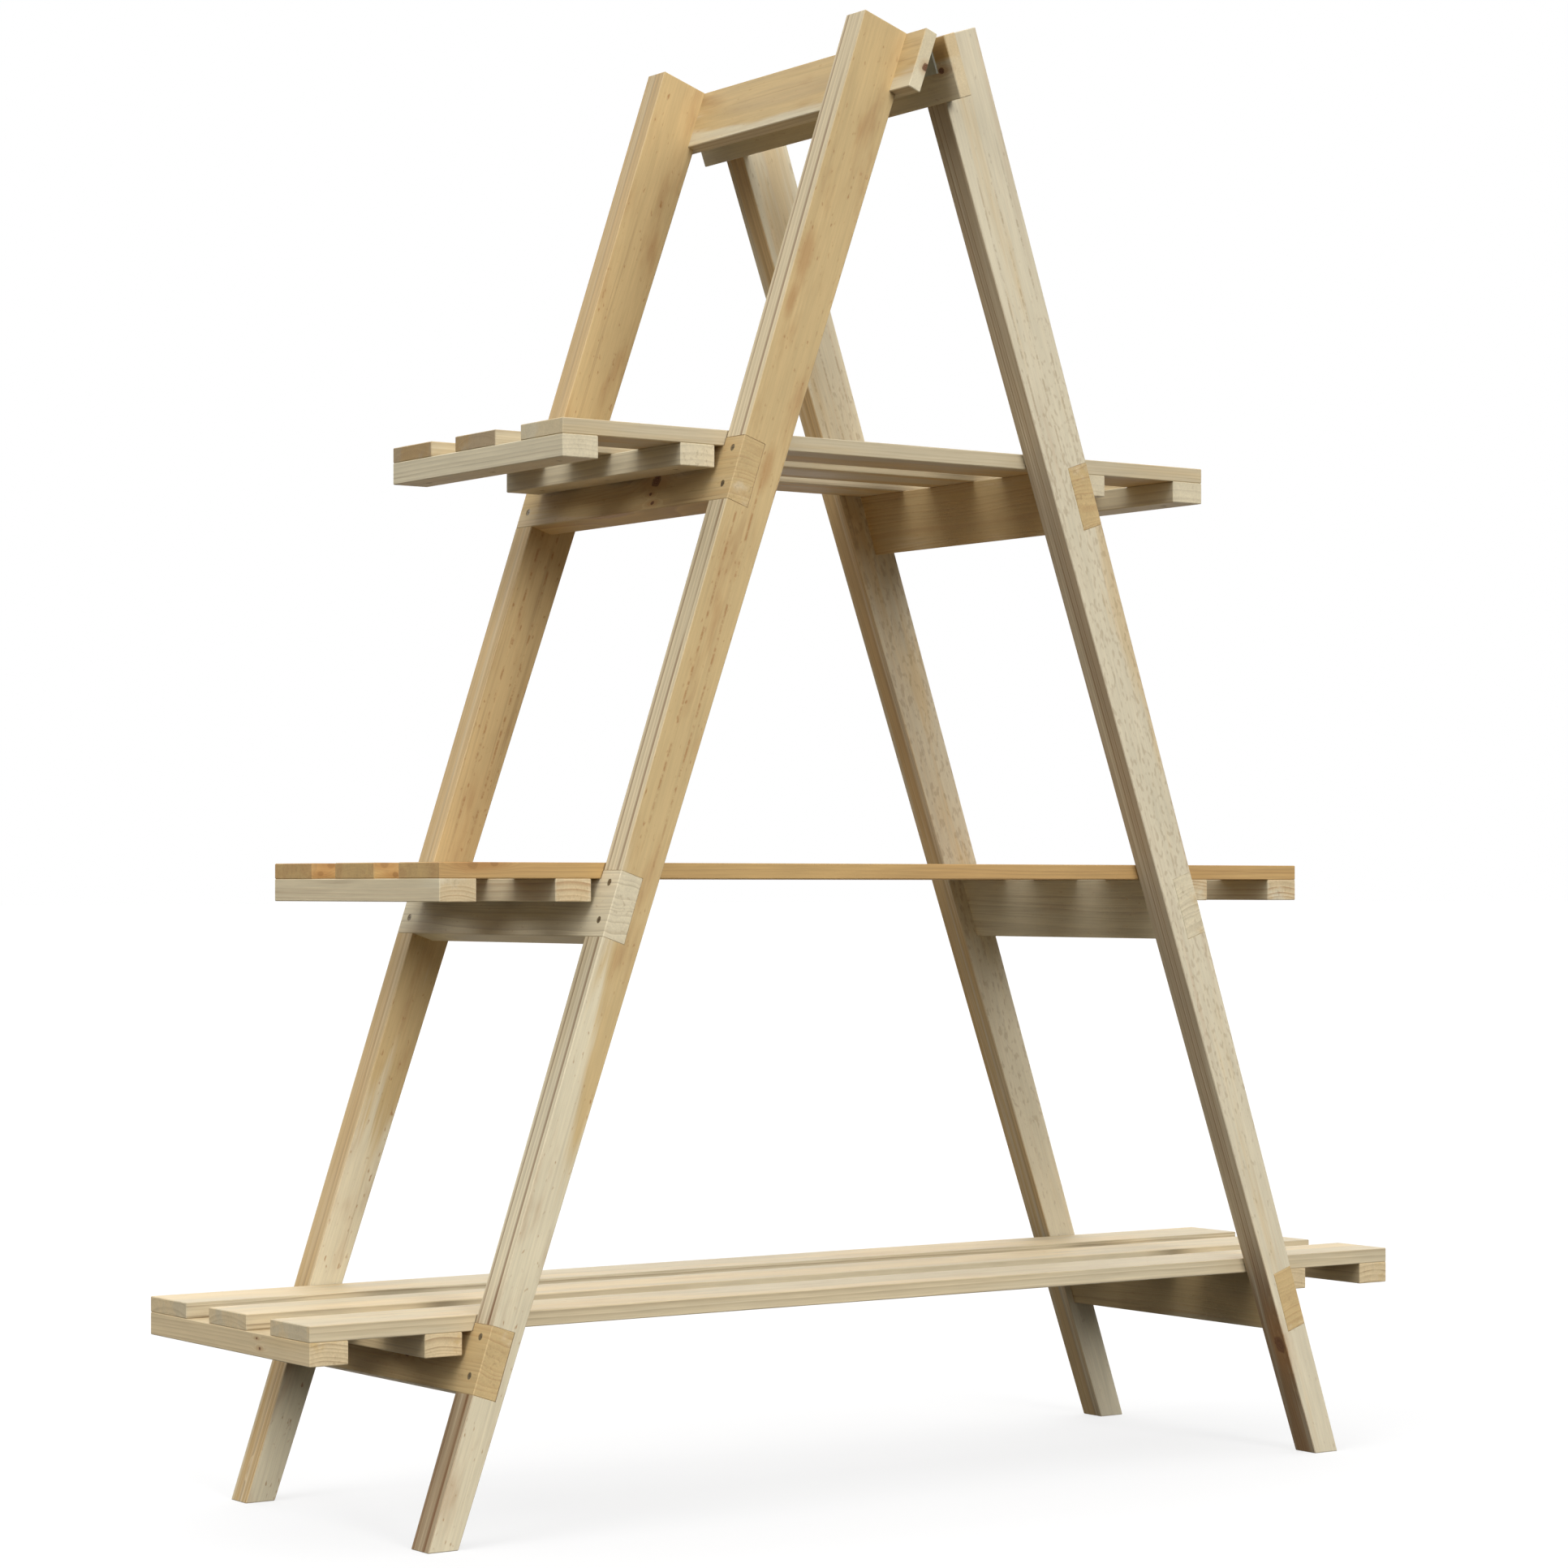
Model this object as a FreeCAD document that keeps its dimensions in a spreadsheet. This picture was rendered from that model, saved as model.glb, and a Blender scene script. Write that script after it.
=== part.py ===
import FreeCAD, Part
import os
import re
import Sketcher

# Folding A-frame plant shelf in planed softwood. Two ladders are hinged together at the top, and three
# slatted shelves drop over their rungs. The frame stands on z = 0, with its length along X, its depth
# along Y (front at -Y) and its hinge line straight above the origin. Millimetres and degrees.

SIDES = ("left", "right")
ENDS = ("front", "back")
TIERS = ("bottom", "middle", "top")
TURN = {"left": "0", "right": "180"}
OUTWARD = {"left": "-", "right": ""}

DRIVING_SIZES = [
    ("leg_top_height", "1500", "floor to the outer corner of a leg's top end"),
    ("lean_angle", "18.6", "lean of a leg's outer edge from the upright"),
    ("leg_top_width", "63.2", "leg, across its square top end, with the notch for the rail filled in"),
    ("leg_foot_width", "33", "leg, along the floor"),
    ("leg_thickness", "32", "leg, along the depth"),
    ("ladder_depth", "396", "outside of the front legs to outside of the back legs"),
    ("edge_ease", "0.8", "chamfer on the edges of every board"),
    ("rung_height", "67.5", "rung, along the leg"),
    ("rung_thickness", "26", "rung, and the depth of its housing in the leg"),
    ("lowest_seat_height", "199.5", "floor to the level seat on the lowest rungs"),
    ("shelf_pitch", "428", "one seat to the next"),
    ("rung_screw_diameter", "4", "shank of a rung screw"),
    ("rung_screw_head", "7.4", "flat head of a rung screw, across"),
    ("rung_screw_head_height", "2.2", "head of a rung screw"),
    ("screw_sink", "0.4", "depth of a screw's head below the wood's face"),
    ("rung_screw_margin", "12.5", "top of the rung to its upper screw"),
    ("rung_screw_spacing", "38", "upper screw to lower screw"),
    ("rung_screw_bite", "6", "length of a rung screw that holds in the leg"),
    ("screw_clearance", "0.1", "room round a screw in its hole"),
    ("pilot_room", "0.5", "depth of a pilot hole past the screw's point"),
    ("rail_width", "65", "top rail, down the legs"),
    ("rail_thickness", "15", "top rail"),
    ("rail_overhang", "32.5", "top rail, past the legs at each end"),
    ("rail_notch", "8.2", "depth to which the rail is let into a leg, across the leg's top end"),
    ("rail_screw_diameter", "4", "shank of a screw that holds the rail to a leg"),
    ("rail_screw_head", "7.4", "flat head of a rail screw, across"),
    ("rail_screw_head_height", "2.2", "head of a rail screw"),
    ("rail_screw_drop", "30", "top of the rail to its screws, which the hinge leaves cover"),
    ("rail_screw_spacing", "15", "one rail screw to the other on a leg"),
    ("rail_screw_bite", "25", "length of a rail screw that holds in the leg"),
    ("hinge_length", "80", "hinge, along its pin"),
    ("hinge_inset", "24", "end of the rail to the end of the hinge"),
    ("hinge_leaf_width", "34", "hinge pin's axis to the free edge of a leaf"),
    ("hinge_leaf_thickness", "2", "hinge leaf"),
    ("knuckle_diameter", "8", "hinge knuckle"),
    ("knuckle_clearance", "0.4", "knuckle to the rail and to the other leaf"),
    ("knuckle_end_gap", "0.3", "end of a knuckle to the next"),
    ("hinge_axis_drop", "0.9", "rail's top edge to the hinge pin's axis, down the rail"),
    ("pin_diameter", "4", "hinge pin"),
    ("pin_clearance", "0.08", "room round the pin in its knuckles"),
    ("pin_end", "0.6", "length of the pin past the knuckles at each end"),
    ("hinge_screw_diameter", "3.8", "shank of a hinge screw"),
    ("hinge_screw_head", "7.2", "flat head of a hinge screw, across"),
    ("hinge_screw_head_height", "1", "head of a hinge screw"),
    ("hinge_screw_length", "13", "hinge screw, from the leaf's face"),
    ("hinge_screw_line", "20", "hinge pin's axis to the line of screws"),
    ("hinge_screw_margin", "13", "end of the hinge to its first screw"),
    ("slat_width", "78", "shelf slat"),
    ("slat_thickness", "15.5", "shelf slat"),
    ("batten_width", "40.5", "cross batten under the slats"),
    ("batten_height", "22.3", "cross batten under the slats"),
    ("shelf_screw_diameter", "3.5", "shank of a screw that holds a slat to a batten"),
    ("shelf_screw_head", "6.8", "flat head of a shelf screw, across"),
    ("shelf_screw_head_height", "2", "head of a shelf screw"),
    ("shelf_screw_bite", "9.5", "length of a shelf screw that holds in the slat"),
    ("shelf_side_gap", "1.5", "shelf to the legs at front and back"),
    ("batten_stop_gap", "2.8", "stop batten to the rung's outer face, at the batten's underside"),
    ("bottom_overhang", "162.5", "inner face of the stop batten to the end of the bottom shelf"),
    ("middle_overhang", "169", "the same on the middle shelf"),
    ("top_overhang", "176.5", "the same on the top shelf"),
]

DERIVED_SIZES = [
    ("lean", "lean_angle * 1 deg", "lean as an angle"),
    ("leg_length", "leg_top_height / cos(lean)", "leg, along its outer edge"),
    ("foot_across", "leg_foot_width * cos(lean)", "inner corner of the foot, across the leg"),
    ("foot_rise", "leg_foot_width * sin(lean)", "inner corner of the foot, along the leg"),
    ("taper", "atan((leg_top_width - foot_across) / (leg_length - foot_rise))",
     "taper of the leg's inner edge"),
    ("rail_lean", "lean + taper", "lean of the leg's inner edge and of the rail on it"),
    ("taper_angle", "taper / 1 deg", "taper as a number of degrees"),
    ("rail_angle", "rail_lean / 1 deg", "rail's lean as a number of degrees"),
    ("hinge_stand_off", "knuckle_diameter / 2 + knuckle_clearance", "rail's face to the hinge pin's axis"),
    ("rail_face_reach", "(rail_thickness + hinge_stand_off) * cos(rail_lean)"
     " - hinge_axis_drop * sin(rail_lean)", "rail's top outer edge to the hinge line, across"),
    ("rail_seat", "leg_top_width - rail_notch", "leg, across its top end behind the rail"),
    ("notch_reach", "rail_notch + edge_ease", "cut of the rail's notch, clear of the leg's inner edge"),
    ("notch_foot_across", "rail_seat - rail_width * sin(taper)", "notch's floor at its lower end, across"),
    ("notch_foot_up", "leg_length - rail_width * cos(taper)", "notch's floor at its lower end, up the leg"),
    ("foot_half_spread", "leg_top_height * tan(lean) + rail_seat * cos(lean) + rail_face_reach",
     "hinge line to the outer edge of a foot"),
    ("rail_top_height", "leg_top_height - rail_seat * sin(lean)", "floor to the rail's top outer edge"),
    ("hinge_axis_height", "rail_top_height - (rail_thickness + hinge_stand_off) * sin(rail_lean)"
     " - hinge_axis_drop * cos(rail_lean)", "floor to the hinge pin's axis"),
    ("rail_length", "ladder_depth + 2 * rail_overhang", "top rail"),
    ("hinge_centre", "rail_length / 2 - hinge_inset - hinge_length / 2",
     "middle of the depth to a hinge's middle"),
    ("hinge_screw_spacing", "hinge_length / 2 - hinge_screw_margin", "one hinge screw to the next"),
    ("knuckle_pitch", "hinge_length / 3", "middle of one knuckle to the next"),
    ("leaf_relief", "knuckle_diameter / 2 + knuckle_clearance", "pin's axis to the plain edge of a leaf"),
    ("ladder_inside", "ladder_depth - 2 * leg_thickness", "front legs to back legs"),
    ("leg_centre", "(ladder_depth - leg_thickness) / 2", "middle of the depth to the middle of a leg"),
    ("shelf_depth", "ladder_inside - 2 * shelf_side_gap", "shelf, front to back"),
    ("slat_pitch", "(shelf_depth - slat_width) / 2", "middle of one slat to the next"),
    ("rung_pitch", "shelf_pitch / cos(lean)", "one rung to the next, along the leg"),
]
for level, tier in enumerate(TIERS):
    DERIVED_SIZES += [
        (f"{tier}_seat_height", f"lowest_seat_height + {level} * shelf_pitch", "floor to the shelf's seat"),
        (f"{tier}_rung_top", f"({tier}_seat_height + rung_thickness * sin(lean)) / cos(lean)",
         "floor to the rung's top, along the leg"),
        (f"{tier}_stop_reach", f"foot_half_spread - ({tier}_seat_height - batten_height) * tan(lean)"
         " + batten_stop_gap", "hinge line to the stop batten's inner face"),
        (f"{tier}_half_length", f"{tier}_stop_reach + {tier}_overhang", "half the shelf's length"),
        (f"{tier}_stop_centre", f"{tier}_stop_reach + batten_width / 2", "hinge line to the stop batten"),
        (f"{tier}_end_centre", f"{tier}_half_length - batten_width / 2", "hinge line to the end batten"),
    ]

document = FreeCAD.newDocument("plant_shelf")
sheet = document.addObject("Spreadsheet::Sheet", "sizes")
size_names = set()
pieces = []

# Numbers that a sketch gives to the points of a curve and to its own origin
START, END, CENTRE = range(1, 4)
ORIGIN = -START

UP = FreeCAD.Vector(0, 0, 1)

# Screws and their holes are drawn with flats, each turned by so much, and with more flats in plain sight
FLAT_ANGLES = {"rung": 45, "hinge": 60, "rail": 60, "shelf": 60}

# First places and rows of the screws, each row an axis, a spacing and a count
LOWEST_RUNG_SCREW = "bottom_rung_top - rung_screw_margin - rung_screw_spacing"
RUNG_SCREW_ROWS = [("Y_Axis", "2 * leg_centre", 2), ("Z_Axis", "rung_screw_spacing", 2)]
RUNG_ROW = ("Z_Axis", "rung_pitch", len(TIERS))
FIRST_RAIL_SCREW = "-leg_centre - rail_screw_spacing / 2"
RAIL_SCREW_ROWS = [("Y_Axis", "rail_screw_spacing", 2), ("Y_Axis", "2 * leg_centre", 2)]
FIRST_HINGE_SCREW = "-hinge_centre - hinge_screw_spacing"
HINGE_SCREW_ROWS = [("Y_Axis", "hinge_screw_spacing", 3), ("Y_Axis", "2 * hinge_centre", 2)]
SLAT_ROW = ("Y_Axis", "slat_pitch", 3)


def fill_sheet():
    """Write the driving sizes as plain numbers and the derived ones as formulas."""
    rows = DRIVING_SIZES + [(name, "=" + formula, note) for name, formula, note in DERIVED_SIZES]
    for row, (name, content, note) in enumerate(rows, start=1):
        sheet.set(f"A{row}", note)
        sheet.set(f"B{row}", content)
        sheet.setAlias(f"B{row}", name)
        size_names.add(name)
    document.recompute()


def bound(text):
    """An expression in which each size name points at its cell."""
    return re.sub(r"[a-z_]+", lambda word: "sizes." * (word[0] in size_names) + word[0], text)


def value(text):
    """What an expression in size names comes to now."""
    return float(sheet.evalExpression(bound(text)))


def place(across="0", along="0", up="0", turn="0", tilt="0"):
    """A placement at a point, tilted about the depth and then turned about the upright."""
    point = f"create(<<vector>>; {across}; {along}; {up})"
    spin = f"create(<<rotation>>; {turn}; {tilt}; 0)"
    return f"create(<<placement>>; {point}; {spin})"


def new_piece(label, placement=None):
    """A body for one sub-part."""
    body = document.addObject("PartDesign::Body", label)
    body.Label = label
    if placement:
        body.setExpression("Placement", bound(placement))
    pieces.append(body)
    return body


def origin_part(body, role):
    """One of the body's own planes or axes."""
    return next(feature for feature in body.Origin.OriginFeatures if feature.Role == role)


def feature_in(body, kind, name):
    """A new feature of the body."""
    return body.newObject(kind, f"{body.Label}_{name}")


def sketch_on(body, plane, name, right="0", up="0", out="0", roll="0"):
    """A sketch on one of the body's planes, shifted along it and off it, and rolled about the sketch's X."""
    sketch = feature_in(body, "Sketcher::SketchObject", name)
    sketch.AttachmentSupport = [(origin_part(body, plane), "")]
    sketch.MapMode = "FlatFace"
    shift = f"create(<<vector>>; {right}; {up}; {out})"
    spin = f"create(<<rotation>>; 0; 0; {roll})"
    sketch.setExpression("AttachmentOffset", bound(f"create(<<placement>>; {shift}; {spin})"))
    return sketch


def fix_point(sketch, curve, point, across, up):
    """Tie a point of a sketched curve to its two distances from the sketch's origin."""
    for kind, text in (("DistanceX", across), ("DistanceY", up)):
        number = sketch.addConstraint(Sketcher.Constraint(kind, ORIGIN, START, curve, point, value(text)))
        sketch.setExpression(f"Constraints[{number}]", bound(text))


def outline(sketch, corners):
    """A closed outline through the corners."""
    points = [FreeCAD.Vector(value(across), value(up), 0) for across, up in corners]
    lines = [
        sketch.addGeometry(Part.LineSegment(start, end), False)
        for start, end in zip(points, points[1:] + points[:1])
    ]
    for line, following in zip(lines, lines[1:] + lines[:1]):
        sketch.addConstraint(Sketcher.Constraint("Coincident", line, END, following, START))
    for line, (across, up) in zip(lines, corners):
        fix_point(sketch, line, START, across, up)


def rectangle(sketch, left, low, right, high):
    """A rectangle between two corners."""
    outline(sketch, [(left, low), (right, low), (right, high), (left, high)])


def circle(sketch, across, up, radius):
    """A circle about a point."""
    centre = FreeCAD.Vector(value(across), value(up), 0)
    curve = sketch.addGeometry(Part.Circle(centre, UP, value(radius)), False)
    fix_point(sketch, curve, CENTRE, across, up)
    number = sketch.addConstraint(Sketcher.Constraint("Radius", curve, value(radius)))
    sketch.setExpression(f"Constraints[{number}]", bound(radius))


def screw_outline(sketch, family, radius):
    """A small circle about the sketch's origin, drawn with the few flats of its family of screws."""
    outline(sketch, [
        (f"({radius}) * cos({angle} deg)", f"({radius}) * sin({angle} deg)")
        for angle in range(0, 360, FLAT_ANGLES[family])
    ])


def pad(body, name, sketch, length, both_ways=True, forwards=True):
    """Material along the sketch's normal."""
    feature = feature_in(body, "PartDesign::Pad", name)
    feature.Profile = sketch
    feature.SideType = "Symmetric" if both_ways else "One side"
    feature.Reversed = not forwards
    feature.setExpression("Length", bound(length))
    return feature


def pocket(body, name, sketch, depth=None, both_ways=True, forwards=False):
    """A cut along the sketch's normal, right through where no depth is given."""
    feature = feature_in(body, "PartDesign::Pocket", name)
    feature.Profile = sketch
    feature.SideType = "Symmetric" if both_ways else "One side"
    feature.Reversed = forwards
    if depth:
        feature.setExpression("Length", bound(depth))
    else:
        feature.Type = "ThroughAll"
    return feature


def screw(body, family, plane, right, up, face, length, forwards=True, sink="screw_sink"):
    """A flat-headed screw, let into a face and driven along the plane's normal or against it."""
    start = f"{face} + {sink}" if forwards else f"{face} - {sink}"
    head_sketch = sketch_on(body, plane, "head_outline", right, up, start)
    screw_outline(head_sketch, family, f"{family}_screw_head / 2")
    head = pad(body, "head", head_sketch, f"{family}_screw_head_height", both_ways=False, forwards=forwards)
    shank_sketch = sketch_on(body, plane, "shank_outline", right, up, start)
    screw_outline(shank_sketch, family, f"{family}_screw_diameter / 2")
    shank = pad(body, "shank", shank_sketch, f"{length} - {sink}", both_ways=False, forwards=forwards)
    return [head, shank]


def screw_hole(body, family, plane, right, up, face, depth, forwards=True, sink="screw_sink"):
    """The stepped hole that such a screw lies in."""
    recess_sketch = sketch_on(body, plane, "recess_outline", right, up, face)
    screw_outline(recess_sketch, family, f"{family}_screw_head / 2 + screw_clearance")
    recess = pocket(body, "recess", recess_sketch, f"{family}_screw_head_height + {sink}", both_ways=False,
                    forwards=forwards)
    shank_sketch = sketch_on(body, plane, "shank_outline", right, up, face)
    screw_outline(shank_sketch, family, f"{family}_screw_diameter / 2 + screw_clearance")
    shank = pocket(body, "shank_hole", shank_sketch, depth, both_ways=False, forwards=forwards)
    return [recess, shank]


def pilot_hole(body, name, sketch, family, depth, forwards=False):
    """The blind hole that a screw's point bites into."""
    screw_outline(sketch, family, f"{family}_screw_diameter / 2 + screw_clearance")
    return pocket(body, name, sketch, f"{depth} + pilot_room", both_ways=False, forwards=forwards)


def ease_edges(body, feature):
    """Chamfer every edge of a board."""
    document.recompute()
    chamfer = feature_in(body, "PartDesign::Chamfer", "eased_edges")
    chamfer.Base = (feature, [""])
    chamfer.UseAllEdges = True
    chamfer.setExpression("Size", bound("edge_ease"))


def repeat(body, name, features, *rows):
    """Repeat features along one or more rows, each an axis, a spacing and a count."""
    document.recompute()
    patterns = []
    for number, (axis, spacing, count) in enumerate(rows):
        pattern = feature_in(body, "PartDesign::LinearPattern", f"{name}_row_{number}")
        pattern.Direction = (origin_part(body, axis), [""])
        pattern.Mode = "Spacing"
        pattern.Occurrences = count
        pattern.setExpression("Offset", bound(spacing))
        patterns.append(pattern)
    group = feature_in(body, "PartDesign::MultiTransform", name)
    group.Originals = features
    group.Transformations = patterns
    body.Tip = group


# Ladders

def ladder_place(side):
    """A ladder's own frame: Z up the legs' outer edges, X inwards, Y along the rungs."""
    return place(f"{OUTWARD[side]}foot_half_spread", turn=TURN[side], tilt="lean_angle")


def lies_forward(side, end):
    """Whether a piece at this end of the depth lies at -Y in its ladder's own frame."""
    return (end == "front") == (side == "left")


def leg(side, end):
    """A tapered leg, cut level at the foot and square at the top, notched for the rail and each rung."""
    body = new_piece(f"{side}_{end}_leg", ladder_place(side))
    forward = lies_forward(side, end)
    back_face = "ladder_depth / 2 - leg_thickness" if forward else "-ladder_depth / 2"
    centre = "-leg_centre" if forward else "leg_centre"
    blank = sketch_on(body, "XZ_Plane", "outline", out=back_face)
    outline(blank, [
        ("0", "0"),
        ("foot_across", "foot_rise"),
        ("leg_top_width", "leg_length"),
        ("0", "leg_length"),
    ])
    ease_edges(body, pad(body, "blank", blank, "leg_thickness", both_ways=False))

    notch = sketch_on(body, "XZ_Plane", "rail_notch_outline")
    outline(notch, [
        ("notch_foot_across", "notch_foot_up"),
        ("notch_foot_across + notch_reach * cos(taper)", "notch_foot_up - notch_reach * sin(taper)"),
        ("rail_seat + notch_reach", "leg_length + edge_ease"),
        ("rail_seat + edge_ease * tan(taper)", "leg_length + edge_ease"),
    ])
    pocket(body, "rail_notch", notch)

    in_notch = sketch_on(body, "YZ_Plane", "rail_pilot_outline", f"{centre} - rail_screw_spacing / 2",
                         "leg_length - rail_screw_drop * cos(taper)",
                         "rail_seat - rail_screw_drop * sin(taper)", "taper_angle")
    rail_pilot = pilot_hole(body, "rail_pilot", in_notch, "rail", "rail_screw_bite")
    repeat(body, "rail_pilots", [rail_pilot], RAIL_SCREW_ROWS[0])

    housing = sketch_on(body, "XZ_Plane", "housing_outline")
    rectangle(housing, "-edge_ease", "bottom_rung_top - rung_height", "rung_thickness", "bottom_rung_top")
    housing_cut = pocket(body, "housing", housing)
    repeat(body, "housings", [housing_cut], RUNG_ROW)

    in_housing = sketch_on(body, "YZ_Plane", "rung_pilot_outline", centre, LOWEST_RUNG_SCREW,
                           "rung_thickness")
    rung_pilot = pilot_hole(body, "rung_pilot", in_housing, "rung", "rung_screw_bite", forwards=True)
    repeat(body, "rung_pilots", [rung_pilot], RUNG_SCREW_ROWS[1], RUNG_ROW)


def rung(side, tier):
    """A rung flush with the legs' outer edges and faces, planed level between them to seat the shelf."""
    body = new_piece(f"{side}_{tier}_rung", ladder_place(side))
    top = f"{tier}_rung_top"
    blank = sketch_on(body, "XZ_Plane", "outline")
    rectangle(blank, "0", f"{top} - rung_height", "rung_thickness", top)
    ease_edges(body, pad(body, "blank", blank, "ladder_depth"))

    seat = sketch_on(body, "XZ_Plane", "seat_outline")
    outline(seat, [
        ("-edge_ease", f"{top} - (rung_thickness + edge_ease) * tan(lean)"),
        ("rung_thickness", top),
        ("rung_thickness", f"{top} + edge_ease"),
        ("-edge_ease", f"{top} + edge_ease"),
    ])
    pocket(body, "seat", seat, "ladder_inside")

    lowest_hole = f"{top} - rung_screw_margin - rung_screw_spacing"
    hole = screw_hole(body, "rung", "YZ_Plane", "-leg_centre", lowest_hole, "0", "rung_thickness")
    repeat(body, "screw_holes", hole, *RUNG_SCREW_ROWS)


def rung_screws(side):
    """The screws that hold one ladder's rungs to its legs."""
    body = new_piece(f"{side}_rung_screws", ladder_place(side))
    first = screw(body, "rung", "YZ_Plane", "-leg_centre", LOWEST_RUNG_SCREW, "0",
                  "rung_thickness + rung_screw_bite")
    repeat(body, "set", first, *RUNG_SCREW_ROWS, RUNG_ROW)


def rail_place(side):
    """A rail's own frame: its top outer edge along Y, with X inwards through its thickness."""
    return place(f"{OUTWARD[side]}rail_face_reach", up="rail_top_height", turn=TURN[side], tilt="rail_angle")


def top_rail(side):
    """The rail let into a ladder's legs on the inside, flush with their tops, that carries the hinges."""
    body = new_piece(f"{side}_top_rail", rail_place(side))
    blank = sketch_on(body, "XZ_Plane", "outline")
    rectangle(blank, "0", "-rail_width", "rail_thickness", "0")
    ease_edges(body, pad(body, "blank", blank, "rail_length"))

    hole = screw_hole(body, "rail", "YZ_Plane", FIRST_RAIL_SCREW, "-rail_screw_drop", "rail_thickness",
                      "rail_thickness", forwards=False)
    repeat(body, "screw_holes", hole, *RAIL_SCREW_ROWS)

    under_leaf = sketch_on(body, "YZ_Plane", "pilot_outline", FIRST_HINGE_SCREW,
                           "-hinge_axis_drop - hinge_screw_line", "rail_thickness")
    hinge_pilot = pilot_hole(body, "pilot", under_leaf, "hinge", "hinge_screw_length - hinge_leaf_thickness")
    repeat(body, "pilots", [hinge_pilot], *HINGE_SCREW_ROWS)


def rail_screws(side):
    """The screws that hold a rail to its ladder's legs."""
    body = new_piece(f"{side}_rail_screws", rail_place(side))
    first = screw(body, "rail", "YZ_Plane", FIRST_RAIL_SCREW, "-rail_screw_drop", "rail_thickness",
                  "rail_thickness + rail_screw_bite", forwards=False)
    repeat(body, "set", first, *RAIL_SCREW_ROWS)


# Hinges

def hinge_place(side, along="0"):
    """A leaf's own frame: the pin's axis along Y, and the rail's face at X = -hinge_stand_off."""
    return place(along=along, up="hinge_axis_height", turn=TURN[side], tilt="rail_angle")


def hinge_position(end):
    """The middle of a hinge along the depth."""
    return "-hinge_centre" if end == "front" else "hinge_centre"


def hinge_leaf(side, end):
    """A butt hinge's leaf: the left leaf has the two end knuckles, and the right leaf the middle one."""
    body = new_piece(f"{side}_{end}_hinge_leaf", hinge_place(side, hinge_position(end)))
    back = "-hinge_stand_off"
    face = "hinge_leaf_thickness - hinge_stand_off"
    plate = sketch_on(body, "XZ_Plane", "plate_outline")
    rectangle(plate, back, "-hinge_leaf_width", face, "-leaf_relief")
    pad(body, "plate", plate, "hinge_length")

    has_ends = side == "left"
    where = "knuckle_pitch" if has_ends else "0"
    length = "knuckle_pitch - knuckle_end_gap"
    neck = sketch_on(body, "XZ_Plane", "neck_outline", out=where)
    rectangle(neck, back, "-leaf_relief", face, "0")
    barrel = sketch_on(body, "XZ_Plane", "barrel_outline", out=where)
    circle(barrel, "0", "0", "knuckle_diameter / 2")
    knuckle = [pad(body, "neck", neck, length), pad(body, "barrel", barrel, length)]
    if has_ends:
        repeat(body, "knuckles", knuckle, ("Y_Axis", "2 * knuckle_pitch", 2))
    bore = sketch_on(body, "XZ_Plane", "bore_outline")
    circle(bore, "0", "0", "pin_diameter / 2 + pin_clearance")
    pocket(body, "bore", bore)

    hole = screw_hole(body, "hinge", "YZ_Plane", "-hinge_screw_spacing", "-hinge_screw_line", face,
                      "hinge_leaf_thickness", forwards=False, sink="0")
    repeat(body, "screw_holes", hole, HINGE_SCREW_ROWS[0])


def hinge_pin(end):
    """The pin of a hinge."""
    body = new_piece(f"{end}_hinge_pin", place(along=hinge_position(end), up="hinge_axis_height"))
    section = sketch_on(body, "XZ_Plane", "outline")
    circle(section, "0", "0", "pin_diameter / 2")
    pad(body, "rod", section, "hinge_length + 2 * pin_end")


def hinge_screws(side):
    """The screws that hold a ladder's hinge leaves to its rail."""
    body = new_piece(f"{side}_hinge_screws", hinge_place(side))
    first = screw(body, "hinge", "YZ_Plane", FIRST_HINGE_SCREW, "-hinge_screw_line",
                  "hinge_leaf_thickness - hinge_stand_off", "hinge_screw_length", forwards=False, sink="0")
    repeat(body, "set", first, *HINGE_SCREW_ROWS)


# Shelves

def shelf_screw_rows(tier):
    """The rows of screws along a shelf: an end batten and a stop batten, on the left and on the right."""
    return [
        ("X_Axis", f"{tier}_end_centre - {tier}_stop_centre", 2),
        ("X_Axis", f"{tier}_end_centre + {tier}_stop_centre", 2),
    ]


def slat(tier, name, middle):
    """A board along the shelf, from one end to the other."""
    body = new_piece(f"{tier}_{name}_slat")
    seat_height = f"{tier}_seat_height"
    section = sketch_on(body, "YZ_Plane", "outline")
    rectangle(section, f"{middle} - slat_width / 2", seat_height, f"{middle} + slat_width / 2",
              f"{seat_height} + slat_thickness")
    ease_edges(body, pad(body, "blank", section, f"2 * {tier}_half_length"))
    on_underside = sketch_on(body, "XY_Plane", "pilot_outline", f"-{tier}_end_centre", middle, seat_height)
    slat_pilot = pilot_hole(body, "pilot", on_underside, "shelf", "shelf_screw_bite", forwards=True)
    repeat(body, "pilots", [slat_pilot], *shelf_screw_rows(tier))


def batten(tier, name, middle):
    """A board across the shelf, under its slats."""
    body = new_piece(f"{tier}_{name}_batten")
    seat_height = f"{tier}_seat_height"
    underside = f"{seat_height} - batten_height"
    section = sketch_on(body, "XZ_Plane", "outline")
    rectangle(section, f"{middle} - batten_width / 2", underside, f"{middle} + batten_width / 2",
              seat_height)
    ease_edges(body, pad(body, "blank", section, "shelf_depth"))
    hole = screw_hole(body, "shelf", "XY_Plane", middle, "-slat_pitch", underside, "batten_height")
    repeat(body, "screw_holes", hole, SLAT_ROW)


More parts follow.
